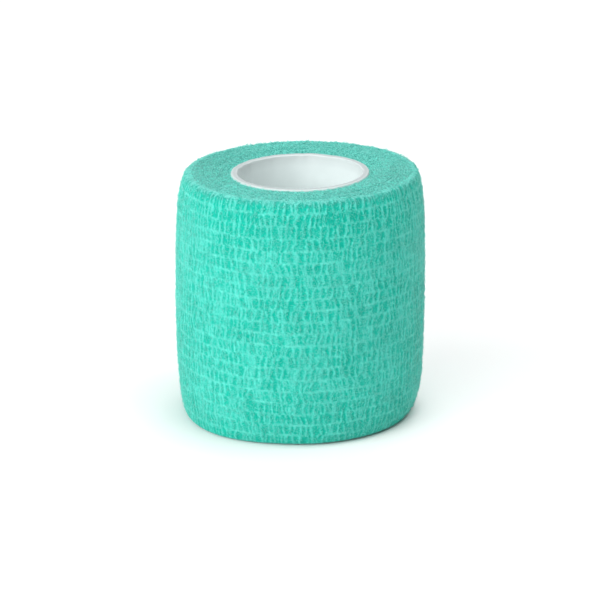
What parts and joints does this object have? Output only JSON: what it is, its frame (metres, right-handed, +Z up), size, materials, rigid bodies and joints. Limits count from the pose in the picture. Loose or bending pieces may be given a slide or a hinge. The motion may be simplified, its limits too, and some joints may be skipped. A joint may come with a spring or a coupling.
{
  "type": "cohesive bandage roll",
  "caption": "Strip of crinkled elastic self-gripping bandage cloth, wound on a hollow plastic core tube into a short round roll that stands on its flat end.",
  "frame": {"origin": "centre of the flat lower end that the roll stands on", "axes": "+Z up along the core tube's axis; -Y is the front seen in the picture, +X its right side; the strip's free end lies on the rear"},
  "size_m": [0.0501, 0.0504, 0.0503],
  "materials": {
    "bandage_cloth": "crinkled teal nonwoven cloth with elastic threads, matt",
    "core_plastic": "smooth white plastic, satin"
  },
  "bodies": {
    "root": {"wound_bandage": "bandage_cloth", "core_tube": "core_plastic"}
  },
  "joints": []
}
